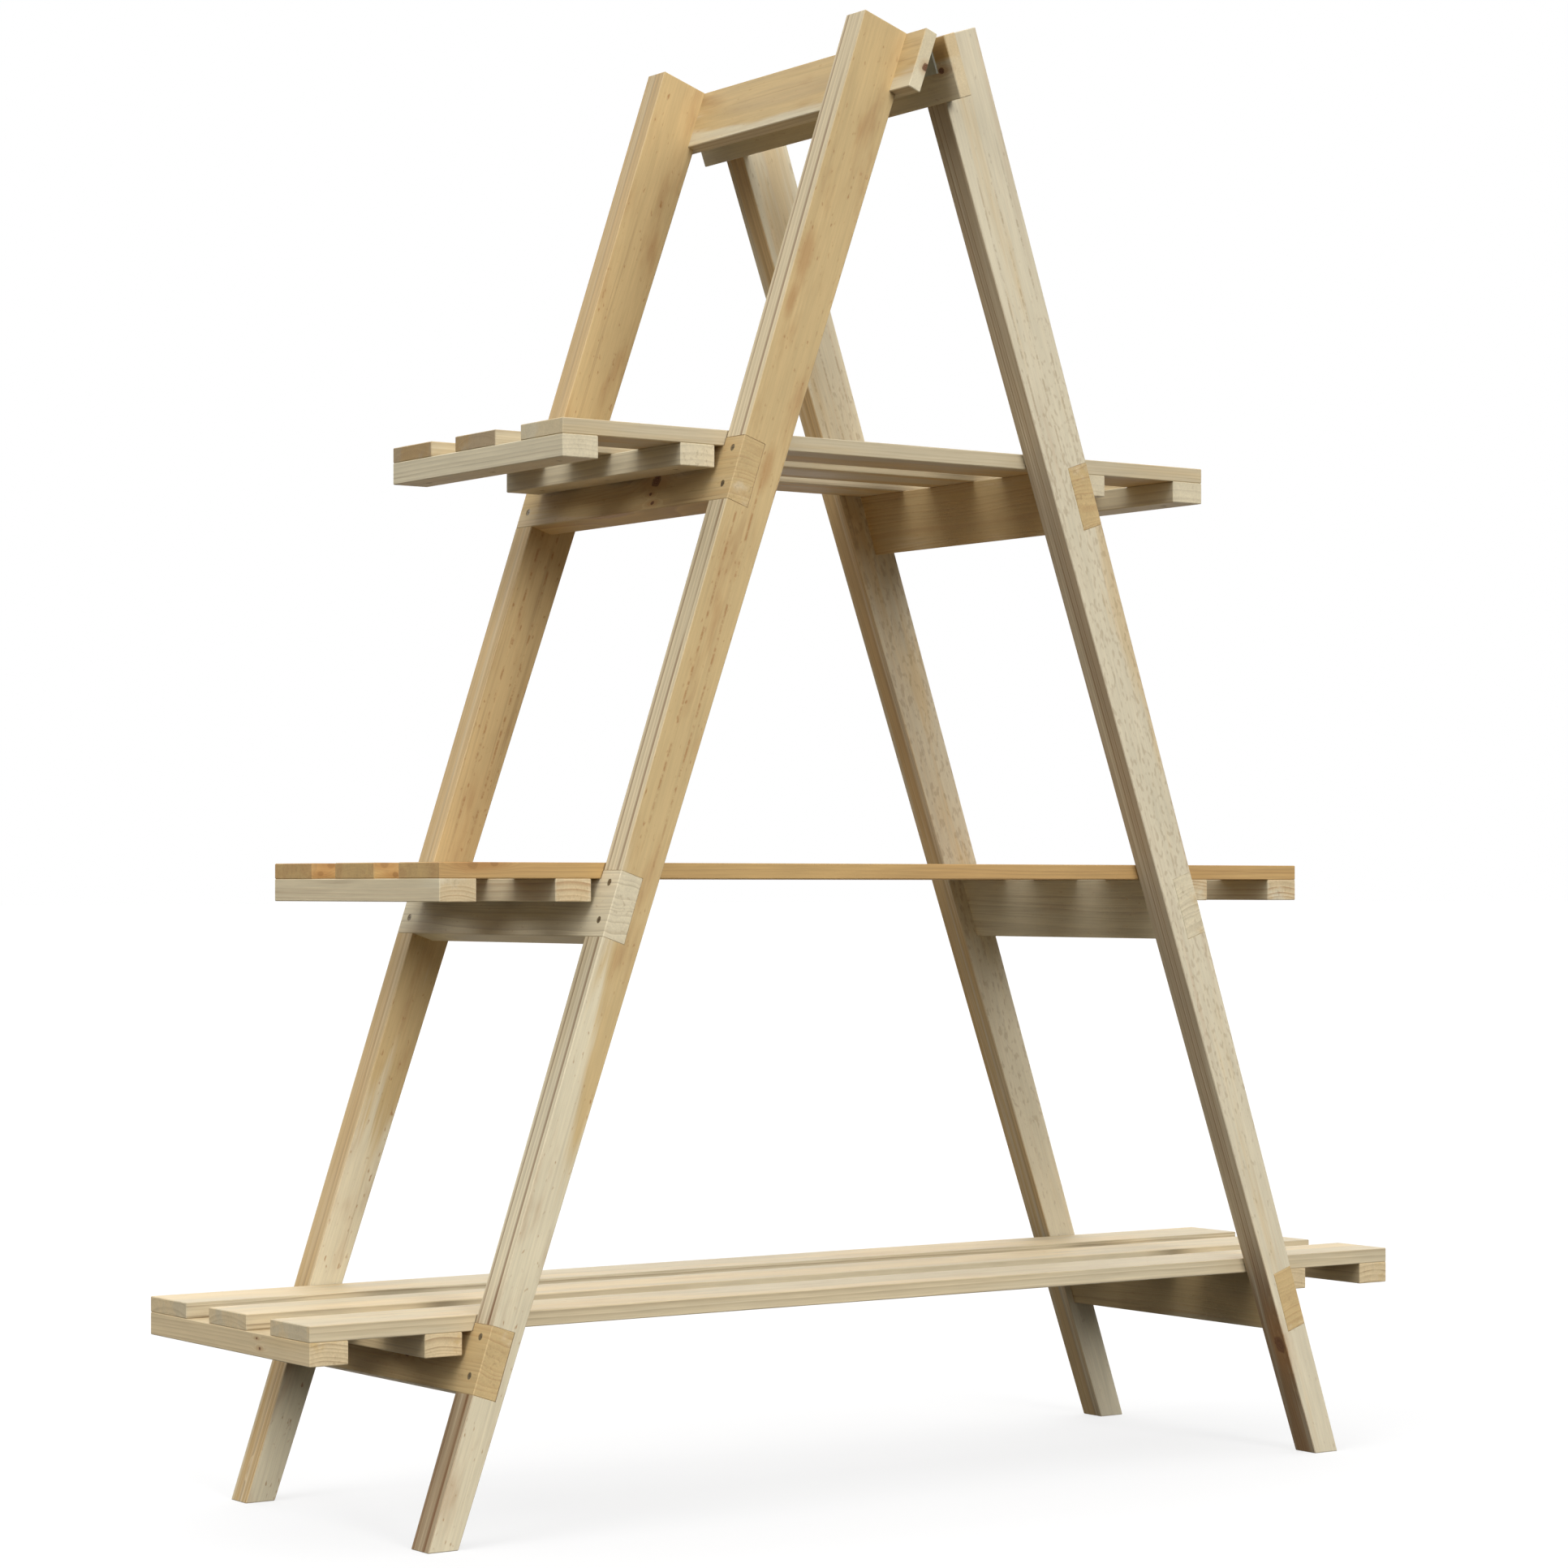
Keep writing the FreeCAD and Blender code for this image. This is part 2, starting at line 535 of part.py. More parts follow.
def shelf_screws(tier):
    """The screws that hold a shelf's slats to its battens, from below."""
    body = new_piece(f"{tier}_shelf_screws")
    first = screw(body, "shelf", "XY_Plane", f"-{tier}_end_centre", "-slat_pitch",
                  f"{tier}_seat_height - batten_height", "batten_height + shelf_screw_bite")
    repeat(body, "set", first, SLAT_ROW, *shelf_screw_rows(tier))


def shelf(tier):
    """A shelf of slats on battens; the stop battens hang outside the rungs and keep the legs in."""
    slat(tier, "front", "-slat_pitch")
    slat(tier, "middle", "0")
    slat(tier, "back", "slat_pitch")
    batten(tier, "left_end", f"-{tier}_end_centre")
    batten(tier, "left_stop", f"-{tier}_stop_centre")
    batten(tier, "right_stop", f"{tier}_stop_centre")
    batten(tier, "right_end", f"{tier}_end_centre")
    shelf_screws(tier)


def check_model():
    """Stop if a feature failed, a cut took nothing away or a piece has no sound shape."""
    for item in document.Objects:
        if "Invalid" in item.State or "Error" in item.State:
            raise RuntimeError(f"{item.Label} failed: {item.State}")
        if item.TypeId == "PartDesign::Pocket" and item.Shape.Volume >= item.BaseFeature.Shape.Volume:
            raise RuntimeError(f"{item.Label} cuts nothing")
    for piece in pieces:
        if piece.Shape.isNull() or not piece.Shape.isValid() or not piece.Shape.Solids:
            raise RuntimeError(f"{piece.Label} has no sound shape")
        wanted = 1
        if piece.Tip.TypeId == "PartDesign::MultiTransform" and piece.Label.endswith("_screws"):
            for pattern in piece.Tip.Transformations:
                wanted *= pattern.Occurrences
        if len(piece.Shape.Solids) != wanted:
            raise RuntimeError(f"{piece.Label} has {len(piece.Shape.Solids)} solids instead of {wanted}")


fill_sheet()
for side in SIDES:
    for end in ENDS:
        leg(side, end)
        hinge_leaf(side, end)
    for tier in TIERS:
        rung(side, tier)
    rung_screws(side)
    top_rail(side)
    rail_screws(side)
    hinge_screws(side)
for end in ENDS:
    hinge_pin(end)
for tier in TIERS:
    shelf(tier)
document.recompute()
check_model()

os.makedirs("parts", exist_ok=True)
for piece in pieces:
    piece.Shape.exportStep(os.path.join("parts", f"{piece.Label}.step"))
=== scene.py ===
import math

import bpy
import numpy as np
from bpy.props import FloatProperty, FloatVectorProperty, PointerProperty
from mathutils import Color, Matrix, Vector


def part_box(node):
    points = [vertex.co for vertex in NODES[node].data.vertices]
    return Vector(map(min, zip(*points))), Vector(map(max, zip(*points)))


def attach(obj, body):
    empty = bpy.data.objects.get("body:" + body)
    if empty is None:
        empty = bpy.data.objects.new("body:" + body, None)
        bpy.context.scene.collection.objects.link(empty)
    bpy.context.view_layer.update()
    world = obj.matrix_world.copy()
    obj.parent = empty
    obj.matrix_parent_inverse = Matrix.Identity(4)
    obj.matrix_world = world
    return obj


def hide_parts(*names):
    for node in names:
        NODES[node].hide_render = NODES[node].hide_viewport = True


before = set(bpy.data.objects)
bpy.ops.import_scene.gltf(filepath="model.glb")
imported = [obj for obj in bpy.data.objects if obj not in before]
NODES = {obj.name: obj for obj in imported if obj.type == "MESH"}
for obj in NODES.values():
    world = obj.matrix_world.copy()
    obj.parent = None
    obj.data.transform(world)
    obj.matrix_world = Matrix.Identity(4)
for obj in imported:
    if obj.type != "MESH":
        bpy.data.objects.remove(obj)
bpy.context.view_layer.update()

bl_info = {
    "name": "Folding Plant Shelf",
    "version": (1, 0, 0),
    "blender": (4, 5, 0),
    "location": "View3D > Sidebar > Plant Shelf",
    "description": "Finishes the boards, hinges and screws of a folding plant shelf",
    "category": "Object",
}

# The ladders lean by this much, and their rails follow the legs' tapered inner edges.
LEAN = math.radians(18.6)
RAIL_LEAN = math.radians(19.763)

SIDES = {"left": 1.0, "right": -1.0}
LEVELS = ("bottom", "middle", "top")
ALONG_DEPTH = Vector((0.0, 1.0, 0.0))
ALONG_LENGTH = Vector((1.0, 0.0, 0.0))
UP = Vector((0.0, 0.0, 1.0))
FRONT = Vector((0.0, -1.0, 0.0))
WHITE = (1.0, 1.0, 1.0, 1.0)

# Seeds of the grain: a family's first, its step from group to group, and its step from board to board.
SEEDS = {
    "leg": (3.1, 5.7, 2.3),
    "rung": (21.4, 6.1, 3.7),
    "rail": (41.2, 4.9, 0.0),
    "slat": (55.3, 7.7, 2.9),
    "batten": (83.1, 9.3, 2.1),
}
SEED_SHIFT = (1.73, 0.61, 0.83)

# Growth rings: how much each board axis counts, how often their width changes in a metre, and by how many
# rings. Each ring's dark line grows between two shares of its width.
RING_STRETCH = (0.03, 1.0, 1.0)
RING_CHANGES = 55.0
RING_DRIFT = 3.0
LINE_START = 0.35
LINE_FULL = 0.90
LIGHT_END = 0.3

# Places along the legs, in metres from their middle: where the dark feet begin and are full, and where the
# specks of the middle stretch begin to fade and are gone. The dark feet are partly the wood's own darker
# grain and partly painted shade under the bottom shelf.
FOOT_GRAIN_AND_SHADE = (0.50, 0.64)
MIDDLE_STRETCH = (0.30, 0.60)

# Broken veins on the legs, in metres.
VEIN_SPACING = 0.019
VEIN_WIDTH = 0.0018
VEIN_REACH = 0.26

# What the fibres, the mottle and a ring's light side add to the wood's shade.
BASE_SHADE = 0.81
FIBRE_SHADE = 0.36
MOTTLE_SHADE = 0.13
RING_SHADE = 0.14

# What the parts of the grain add to the wood's roughness and to its relief.
BASE_ROUGHNESS = 0.60
SUMMER_ROUGHNESS = -0.10
FIBRE_ROUGHNESS = 0.14
END_ROUGHNESS = 0.12
FIBRE_HEIGHT = 0.55
SUMMER_HEIGHT = 0.35
STREAK_HEIGHT = -0.4

# Knots: how ragged they are, how much the board's length counts in a core and in a halo, how fine and strong
# a core's own lines are, how strongly a halo stains, and how many rings a knot pushes aside.
KNOT_RAGGED = 0.7
CORE_LENGTH = 0.72
HALO_LENGTH = 0.30
CORE_LINES = 19.0
CORE_LINE_DEPTH = 0.12
HALO_STRENGTH = 0.5
RINGS_PUSHED = 3.2

# Screws: sides of the round, shares of the head's radius, tapers, and the turn from one screw to the next.
SCREW_SIDES = 32
HEAD_HEIGHT = 0.5
RIM_WIDTH = 0.09
RIM_STEPS = 3
TIP_TAPER = 0.5
RECESS_TAPER = 0.45
BAR_WIDTH = 0.42
SCREW_TURN = 2.4
SMOOTH_ANGLE = math.radians(35)
LEVEL_FACE = 0.9
MERGE_DIGITS = 6
SORT_DIGITS = 4

# Studio: the floor's size in metres, how much it glows where it is seen, and how much light the air gives.
FLOOR_SIZE = 240.0
FLOOR_GLOW = 0.72
AIR_FILL = 0.12

# Sun lamps: tilt and heading in degrees, strength, and spread in degrees.
LAMPS = {
    "key": (74.0, -2.0, 1.85, 18.0),
    "side": (55.0, -80.0, 1.1, 34.0),
    "back": (60.0, 150.0, 0.8, 60.0),
    "ceiling": (0.0, 0.0, 2.4, 140.0),
}

# The camera stands level, low on the left, at the photograph's viewing angle.
CAMERA_PLACE = (-2.3953, -3.3442, 0.6186)
CAMERA_TURN = -0.6156
CAMERA_LENS = 89.53
CAMERA_SENSOR = 36.0
CAMERA_RISE = 0.0662
CAMERA_REACH = 500.0


# Properties

def tone(label, words, red, green, blue):
    """A colour property, written as it looks on screen."""
    return FloatVectorProperty(
        name=label, description=words, subtype="COLOR_GAMMA", size=3, min=0.0, max=1.0,
        default=(red / 255, green / 255, blue / 255))


class PlantShelfColours(bpy.types.PropertyGroup):
    """Colours of the woods, the steel and the floor."""
    honey: tone("Honey Wood", "Warm wood of the left legs, the rungs and the left rail", 198, 172, 124)
    cream: tone("Cream Wood", "Pale wood of the left legs, rails and battens", 215, 203, 173)
    pale: tone("Pale Wood", "Greyish wood of the right legs", 211, 200, 173)
    sand: tone("Sand Wood", "Warmer fields in the pale boards", 208, 188, 150)
    linen: tone("Linen Wood", "Dull wood of the bottom and top shelves' slats", 196, 182, 152)
    amber: tone("Amber Wood", "Orange wood of the middle shelf's slats", 190, 156, 102)
    russet: tone("Russet Wood", "Deep fields in the amber boards", 178, 138, 87)
    rust: tone("Rust Brown", "Blotches, specks and veins, and the ring lines of some boards", 156, 108, 60)
    summer: tone("Summer Wood", "Dark line that ends each growth ring", 140, 110, 74)
    grey_summer: tone("Grey Summer Wood", "Ring line of the paler boards", 142, 120, 90)
    umber: tone("Umber Wood", "Ring line of the right back leg", 124, 92, 56)
    brown_streak: tone("Resin Brown", "Resin streaks, and the ring lines of the front legs", 118, 82, 48)
    pink_streak: tone("Pink Streak", "Faint streaks of the right legs", 190, 158, 124)
    stain: tone("Stain Brown", "Warm stains round the knots", 164, 118, 68)
    knot: tone("Knot Brown", "Core of the knots", 88, 44, 14)
    hinge_steel: tone("Hinge Steel", "Zinc of the hinge leaves and pins", 190, 193, 180)
    screw_steel: tone("Screw Steel", "Dull steel of the screws", 122, 108, 82)
    floor_white: tone("Floor", "Pale studio floor, as it is seen", 245, 245, 245)
    floor_bounce: tone("Floor Bounce", "What the floor gives back to the object", 62, 60, 55)


class PlantShelfSizes(bpy.types.PropertyGroup):
    """Sizes of the grain and of the screws' drive."""
    ring_width: FloatProperty(
        name="Ring Width", description="Usual width of one growth ring",
        subtype="DISTANCE", unit="LENGTH", default=0.0058, min=0.001, max=0.02)
    drive_width: FloatProperty(
        name="Drive Width", description="Share of a screw head that the cross recess spans",
        subtype="FACTOR", default=0.56, min=0.3, max=0.8)
    drive_depth: FloatProperty(
        name="Drive Depth", description="Depth of the cross recess in a screw head",
        subtype="DISTANCE", unit="LENGTH", default=0.0016, min=0.0005, max=0.003)


def colours():
    return bpy.context.scene.plant_shelf_colours


def sizes():
    return bpy.context.scene.plant_shelf_sizes


def paint(name):
    """A named colour as a shader socket takes it."""
    linear = Color(getattr(colours(), name)).from_srgb_to_scene_linear()
    return (linear.r, linear.g, linear.b, 1.0)


# Shader nodes

def feed(tree, socket, value):
    """Links another socket to this one, or sets its own value."""
    if isinstance(value, bpy.types.NodeSocket):
        tree.links.new(value, socket)
    else:
        socket.default_value = value


def add_node(tree, kind, *values, **settings):
    """A node with its settings, and its open inputs filled in order."""
    node = tree.nodes.new("ShaderNode" + kind)
    for name, setting in settings.items():
        setattr(node, name, setting)
    sockets = [socket for socket in node.inputs if socket.enabled]
    for socket, value in zip(sockets, values):
        feed(tree, socket, value)
    return node


def result(node, name=None):
    """A node's output by its name, or the first that is open."""
    if name:
        return node.outputs[name]
    return next(socket for socket in node.outputs if socket.enabled)


def calc(tree, operation, *values, clamp=False):
    return result(add_node(tree, "Math", *values, operation=operation, use_clamp=clamp))


def vector_calc(tree, operation, *values):
    return result(add_node(tree, "VectorMath", *values, operation=operation))


def product(tree, first, *others):
    """All the values, multiplied in order."""
    for other in others:
        first = calc(tree, "MULTIPLY", first, other)
    return first


def rest_of(tree, share):
    """What a share leaves of 1."""
    return calc(tree, "SUBTRACT", 1.0, share)


def between(tree, share, low, high):
    """Low where the share is 0, and high where it is 1."""
    return calc(tree, "MULTIPLY_ADD", share, high - low, low)


def soft_step(tree, value, low, high):
    """0 below low, 1 above high, and smooth between."""
    return result(add_node(tree, "MapRange", value, low, high, 0.0, 1.0, interpolation_type="SMOOTHSTEP"))


def blend_colours(tree, share, first, second):
    return result(add_node(tree, "Mix", share, first, second, data_type="RGBA", blend_type="MIX"))


def noise(tree, vector, along, across, through=None, detail=2.0, roughness=0.5):
    """Noise with a count of its grains per metre along, across and through a board."""
    stretch = (along, across, across if through is None else through)
    stretched = vector_calc(tree, "MULTIPLY", vector, stretch)
    return add_node(tree, "TexNoise", stretched, 1.0, detail, roughness)


def patches(tree, vector, low, high, **pattern):
    """Noise that is 0 below low, 1 above high, and smooth between."""
    return soft_step(tree, result(noise(tree, vector, **pattern)), low, high)


def push(tree, vector, size, **pattern):
    """Noise as a push to any side, by up to half the size along each axis."""
    colour = result(noise(tree, vector, **pattern), "Color")
    centred = vector_calc(tree, "SUBTRACT", colour, (0.5, 0.5, 0.5))
    return vector_calc(tree, "SCALE", centred, size)


def new_group(name, inputs, outputs):
    """A node group, with its inputs and outputs listed by kind."""
    tree = bpy.data.node_groups.new(name, "ShaderNodeTree")
    for way, sockets in (("INPUT", inputs), ("OUTPUT", outputs)):
        for kind, labels in sockets.items():
            for label in labels:
                tree.interface.new_socket(label, in_out=way, socket_type="NodeSocket" + kind)
    start = tree.nodes.new("NodeGroupInput")
    end = tree.nodes.new("NodeGroupOutput")
    return tree, start.outputs, end.inputs


def use_group(tree, group, **values):
    """Places a node group, with underscores in the input names read as spaces."""
    node = tree.nodes.new("ShaderNodeGroup")
    node.node_tree = group
    for name, value in values.items():
        feed(tree, node.inputs[name.replace("_", " ").title()], value)
    return node


def principled(name):
    """A new material, with its node tree and its shader."""
    material = bpy.data.materials.new(name)
    material.use_nodes = True
    tree = material.node_tree
    return material, tree, tree.nodes["Principled BSDF"]


def surface(tree, shader, colour, marks, strength, depth):
    """Feeds a shader its colour, with the roughness and the relief that a node group gives."""
    feed(tree, shader.inputs["Base Color"], colour)
    feed(tree, shader.inputs["Roughness"], marks.outputs["Roughness"])
    relief = add_node(tree, "Bump", strength, depth)
    feed(tree, relief.inputs["Height"], marks.outputs["Height"])
    feed(tree, shader.inputs["Normal"], relief.outputs["Normal"])


def coat(name, material):
    """Gives a CAD node its material."""
    mesh = NODES[name].data
    mesh.materials.clear()
    mesh.materials.append(material)


# Pine

def pine_group():
    """Solid pine: growth rings about a pith line, heartwood, resin streaks, blotches and fibres."""
    if "Pine Grain" in bpy.data.node_groups:
        return bpy.data.node_groups["Pine Grain"]
    tree, source, target = new_group(
        "Pine Grain",
        {"Vector": ("Board", "Pith", "Heart Drift"),
         "Color": ("Spring", "Heart", "Summer", "Streak", "Blotch", "Edge", "End"),
         "Float": ("Seed", "Flat", "End Grain", "Bend", "Ring Width", "Waviness", "Ring Contrast",
                   "Flat Contrast", "End Contrast", "Heart Share", "Edge Heart", "Streak Share",
                   "Speck Share", "Speck Cover", "Blotch Share", "Edge Share", "Foot Share", "End Share",
                   "Vein Place", "Vein Middle", "Vein Share")},
        {"Color": ("Color",), "Float": ("Roughness", "Height")})
    board = source["Board"]
    flat = source["Flat"]
    end = source["End Grain"]
    narrow = rest_of(tree, calc(tree, "ADD", flat, end, clamp=True))
    shift = vector_calc(tree, "SCALE", SEED_SHIFT, source["Seed"])
    seeded = vector_calc(tree, "ADD", board, shift)

    # Growth rings, bent by slow waves along the board. Each ends in a thin dark line.
    wave = push(tree, seeded, source["Waviness"], along=2.6, across=13.0, roughness=0.45)
    place = vector_calc(tree, "SUBTRACT", board, source["Pith"])
    place = vector_calc(tree, "ADD", place, wave)
    radius = vector_calc(tree, "LENGTH", vector_calc(tree, "MULTIPLY", place, RING_STRETCH))
    rings = calc(tree, "DIVIDE", radius, source["Ring Width"])
    change = calc(tree, "MULTIPLY_ADD", radius, RING_CHANGES, source["Seed"])
    change = result(add_node(tree, "TexNoise", change, 1.0, 1.0, 0.5, noise_dimensions="1D"))
    rings = calc(tree, "MULTIPLY_ADD", change, RING_DRIFT, rings)
    rings = calc(tree, "ADD", rings, source["Bend"])
    within = calc(tree, "FRACT", rings)
    count = calc(tree, "ADD", calc(tree, "FLOOR", rings), source["Seed"])
    strength = result(add_node(tree, "TexWhiteNoise", count, noise_dimensions="1D"))
    strength = between(tree, strength, 0.2, 1.0)
    strength = product(tree, strength, patches(tree, seeded, 0.20, 0.50, along=5.0, across=45.0))
    summer = soft_step(tree, within, LINE_START, LINE_FULL)
    summer = product(tree, summer, rest_of(tree, soft_step(tree, within, LINE_FULL, 1.0)), strength)

    # The lines show most on the narrow faces, which cut the rings crosswise, and near the feet, where the
    # darker lines are partly the feet's own grain and partly painted shade under the bottom shelf.
    cut = calc(tree, "MULTIPLY_ADD", flat, source["Flat Contrast"], narrow)
    cut = calc(tree, "MULTIPLY_ADD", end, source["End Contrast"], cut)
    axes = add_node(tree, "SeparateXYZ", vector_calc(tree, "ADD", board, wave))
    along = axes.outputs["X"]
    across = axes.outputs["Y"]
    # Painted shade: the feet are darkened, partly for their own darker grain and partly for the shade under
    # the bottom shelf.
    low = soft_step(tree, calc(tree, "MULTIPLY", along, -1.0), *FOOT_GRAIN_AND_SHADE)
    low = product(tree, low, source["Foot Share"])
    contrast = product(tree, source["Ring Contrast"], cut)
    contrast = calc(tree, "MULTIPLY_ADD", contrast, low, contrast, clamp=True)

    # Warm heartwood in long soft fields, mostly on the wide faces.
    field = result(noise(tree, seeded, along=2.4, across=19.0, detail=4.0, roughness=0.55))
    field = calc(tree, "ADD", field, vector_calc(tree, "DOT_PRODUCT", board, source["Heart Drift"]))
    ragged = result(noise(tree, seeded, along=5.0, across=160.0, detail=3.0, roughness=0.6))
    field = calc(tree, "MULTIPLY_ADD", ragged, 0.22, field)
    bound = between(tree, source["Heart Share"], 0.75, 0.25)
    heart = soft_step(tree, calc(tree, "SUBTRACT", field, bound), 0.04, 0.18)
    dimmed = product(tree, narrow, calc(tree, "SUBTRACT", source["Edge Heart"], 1.0))
    heart = product(tree, heart, calc(tree, "ADD", dimmed, 1.0))
    colour = blend_colours(tree, heart, source["Spring"], source["Heart"])
    blotch = patches(tree, seeded, 0.48, 0.80, along=11.0, across=42.0, detail=3.0, roughness=0.6)
    blotch = product(tree, blotch, flat, source["Blotch Share"])
    colour = blend_colours(tree, blotch, colour, source["Blotch"])

    # Long bands of summer wood on the narrow faces, grown near the feet as partly painted shade, and then the
    # ring lines.
    band = patches(tree, seeded, 0.22, 0.56, along=1.6, across=85.0, detail=3.0, roughness=0.6)
    band = product(tree, band, narrow, calc(tree, "ADD", low, source["Edge Share"], clamp=True))
    colour = blend_colours(tree, band, colour, source["Edge"])
    colour = blend_colours(tree, product(tree, summer, contrast), colour, source["Summer"])

    # Thin resin streaks that come and go along the grain.
    thread = patches(tree, seeded, 0.52, 0.70, along=3.0, across=230.0, detail=3.0, roughness=0.6)
    gate = patches(tree, seeded, 0.44, 0.64, along=4.0, across=34.0)
    streak = product(tree, thread, gate, source["Streak Share"])
    colour = blend_colours(tree, streak, colour, source["Streak"])

    # Soft specks, which can be thicker in the middle stretch, and broken veins along one stretch.
    midway = rest_of(tree, soft_step(tree, calc(tree, "ABSOLUTE", along), *MIDDLE_STRETCH))
    speck = result(noise(tree, seeded, along=110.0, across=260.0, detail=1.0))
    speck = calc(tree, "MULTIPLY_ADD", midway, source["Speck Cover"], speck)
    speck = product(tree, soft_step(tree, speck, 0.66, 0.82), flat, source["Speck Share"])
    off = calc(tree, "SUBTRACT", across, source["Vein Place"])
    off = calc(tree, "PINGPONG", off, VEIN_SPACING / 2)
    vein = rest_of(tree, soft_step(tree, off, VEIN_WIDTH / 4, VEIN_WIDTH))
    broken = patches(tree, seeded, 0.42, 0.60, along=80.0, across=80.0, detail=4.0, roughness=0.7)
    reach = calc(tree, "ABSOLUTE", calc(tree, "SUBTRACT", along, source["Vein Middle"]))
    reach = rest_of(tree, soft_step(tree, reach, VEIN_REACH / 2, VEIN_REACH))
    vein = product(tree, vein, product(tree, broken, reach), source["Vein Share"], flat)
    marks = calc(tree, "MAXIMUM", speck, vein)
    colour = blend_colours(tree, marks, colour, source["Blotch"])

    # End grain takes the finish in its own way.
    colour = blend_colours(tree, product(tree, end, source["End Share"]), colour, source["End"])

    # Fine fibres and a slow mottle lighten and darken everything a little.
    fibre = result(noise(tree, seeded, along=16.0, across=480.0, detail=3.0, roughness=0.7))
    mottle = result(noise(tree, seeded, along=9.0, across=55.0, detail=3.0))
    light = rest_of(tree, soft_step(tree, within, 0.0, LIGHT_END))
    light = product(tree, light, contrast, RING_SHADE)
    shade = calc(tree, "MULTIPLY_ADD", fibre, FIBRE_SHADE, calc(tree, "ADD", light, BASE_SHADE))
    shade = calc(tree, "ADD", shade, between(tree, mottle, -MOTTLE_SHADE, MOTTLE_SHADE))
    feed(tree, target["Color"], vector_calc(tree, "SCALE", colour, shade))
    rough = calc(tree, "MULTIPLY_ADD", summer, SUMMER_ROUGHNESS, BASE_ROUGHNESS)
    rough = calc(tree, "MULTIPLY_ADD", fibre, FIBRE_ROUGHNESS, rough)
    feed(tree, target["Roughness"], calc(tree, "MULTIPLY_ADD", end, END_ROUGHNESS, rough, clamp=True))
    relief = calc(tree, "MULTIPLY_ADD", fibre, FIBRE_HEIGHT, product(tree, summer, SUMMER_HEIGHT))
    feed(tree, target["Height"], calc(tree, "MULTIPLY_ADD", streak, STREAK_HEIGHT, relief))
    return tree


def knot_group():
    """One knot or stain at a point of the board: a core, a halo, and a push on the rings round it."""
    if "Pine Knot" in bpy.data.node_groups:
        return bpy.data.node_groups["Pine Knot"]
    tree, source, target = new_group(
        "Pine Knot",
        {"Vector": ("Board", "Place"), "Float": ("Size", "Share")},
        {"Float": ("Core", "Halo", "Bend")})
    away = vector_calc(tree, "SUBTRACT", source["Board"], source["Place"])
    ragged = push(tree, source["Board"], source["Size"], along=150.0, across=150.0)
    away = vector_calc(tree, "ADD", away, vector_calc(tree, "SCALE", ragged, KNOT_RAGGED))

    def distance(length_share):
        """Distance in knot sizes, with only a share of the board's length counted."""
        oval = vector_calc(tree, "MULTIPLY", away, (length_share, 1.0, 1.0))
        return calc(tree, "DIVIDE", vector_calc(tree, "LENGTH", oval), source["Size"])

    near = distance(CORE_LENGTH)
    far = distance(HALO_LENGTH)
    lines = calc(tree, "SINE", calc(tree, "MULTIPLY", near, CORE_LINES))
    lines = calc(tree, "MULTIPLY_ADD", lines, CORE_LINE_DEPTH, 1.0 - CORE_LINE_DEPTH)
    core = rest_of(tree, soft_step(tree, near, 0.62, 1.0))
    feed(tree, target["Core"], product(tree, core, source["Share"], lines))
    feed(tree, target["Halo"], rest_of(tree, soft_step(tree, far, 0.5, 2.1)))
    swell = calc(tree, "EXPONENT", product(tree, far, far, -0.45))
    swell = product(tree, swell, calc(tree, "MULTIPLY", source["Share"], 3.0, clamp=True))
    feed(tree, target["Bend"], product(tree, swell, RINGS_PUSHED))
    return tree


def board_turn(grain, face):
    """Turn of a board's own axes: X along the grain, Z out of its wide face."""
    across = face.cross(grain)
    return Matrix((grain, across, face)).transposed().to_euler("XYZ")


def facing(tree, coordinates, way):
    """1 on the faces that look along a direction or against it, 0 on the others."""
    along = vector_calc(tree, "DOT_PRODUCT", coordinates.outputs["Normal"], way)
    return soft_step(tree, calc(tree, "ABSOLUTE", along), 0.55, 0.90)


def grain_seed(family, group, board=0):
    first, group_step, board_step = SEEDS[family]
    return first + group * group_step + board * board_step


def pine(name, look, grain, face, seed, knots=()):
    """A board's own pine, centred on the board and turned along its grain.

    Each knot has its place in the board's axes, its size, and the strength of its core. Without a core, it
    is a stain.
    """
    low, high = (Vector(corner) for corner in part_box(name))
    material, tree, shader = principled("pine_" + name)
    coordinates = add_node(tree, "TexCoord")
    board = result(add_node(tree, "Mapping", coordinates.outputs["Object"], (low + high) / 2,
                            board_turn(grain, face), (1.0, 1.0, 1.0), vector_type="TEXTURE"))
    end_grain = facing(tree, coordinates, grain)
    flat = facing(tree, coordinates, face)
    bend = 0.0
    cores = []
    halos = []
    for place, size, core in knots:
        knot = use_group(tree, knot_group(), board=board, place=place, size=size, share=core)
        bend = calc(tree, "ADD", knot.outputs["Bend"], bend)
        cores.append(knot.outputs["Core"])
        halos.append(knot.outputs["Halo"])
    values = {key: paint(value) if isinstance(value, str) else value for key, value in look.items()}
    wood = use_group(tree, pine_group(), board=board, seed=seed, bend=bend, flat=flat, end_grain=end_grain,
                     **values)
    colour = wood.outputs["Color"]
    for halo in halos:
        colour = blend_colours(tree, product(tree, halo, HALO_STRENGTH), colour, paint("stain"))
    for core in cores:
        colour = blend_colours(tree, core, colour, paint("knot"))
    surface(tree, shader, colour, wood, strength=0.35, depth=0.0004)
    shader.inputs["Specular IOR Level"].default_value = 0.3
    return material


# Looks of the boards

USUAL_LOOK = {
    "streak": "brown_streak", "blotch": "rust", "edge": "summer", "end": "summer",
    "pith": (0.0, 0.0, -0.11), "waviness": 0.010,
    "ring_contrast": 0.7, "flat_contrast": 0.25, "end_contrast": 0.35,
    "heart_share": 0.5, "heart_drift": (0.0, 0.0, 0.0), "edge_heart": 0.4,
    "streak_share": 0.3, "speck_share": 0.3, "speck_cover": 0.0, "blotch_share": 0.2,
    "edge_share": 0.0, "foot_share": 0.0, "end_share": 0.05,
    "vein_place": 0.0, "vein_middle": 0.0, "vein_share": 0.0,
}


